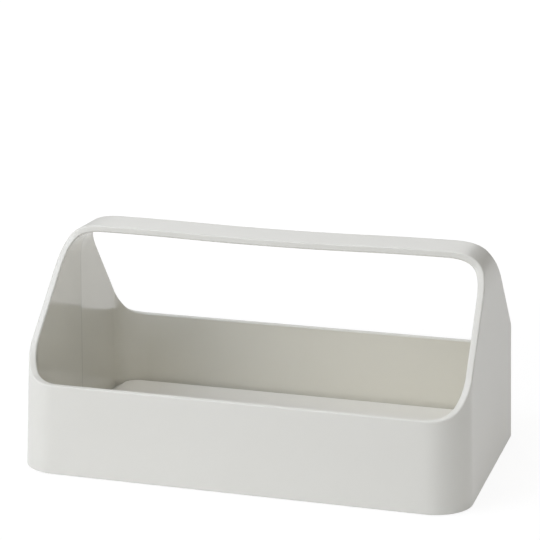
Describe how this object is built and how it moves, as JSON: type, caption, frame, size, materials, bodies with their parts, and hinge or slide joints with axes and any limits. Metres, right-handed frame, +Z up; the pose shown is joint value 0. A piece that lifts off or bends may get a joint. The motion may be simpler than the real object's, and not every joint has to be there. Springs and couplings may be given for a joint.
{
  "type": "storage box",
  "caption": "Open moulded storage box with low long walls and tall tapering ends that bend over into a flat strap handle, with a loose floor mat.",
  "frame": {"origin": "on the surface the box stands on, under the middle of the box", "axes": "+X along the handle, +Y across the box towards its back long wall, +Z up"},
  "size_m": [0.32, 0.206, 0.1606],
  "materials": {
    "shell_plastic": "light warm grey, satin outside and polished inside",
    "base_plastic": "the same light warm grey, fine texture",
    "mat_rubber": "light grey, matte",
    "foot_rubber": "mid grey, matte"
  },
  "bodies": {
    "box": {"shell": "shell_plastic", "base_plate": "base_plastic", "foot_front_left": "foot_rubber", "foot_front_right": "foot_rubber", "foot_back_left": "foot_rubber", "foot_back_right": "foot_rubber"},
    "mat": {"floor_mat": "mat_rubber"}
  },
  "joints": [
    {"name": "mat_lift", "type": "slide", "parent": "box", "child": "mat", "axis": [0, 0, 1], "range_m": [0, 0.06]}
  ]
}
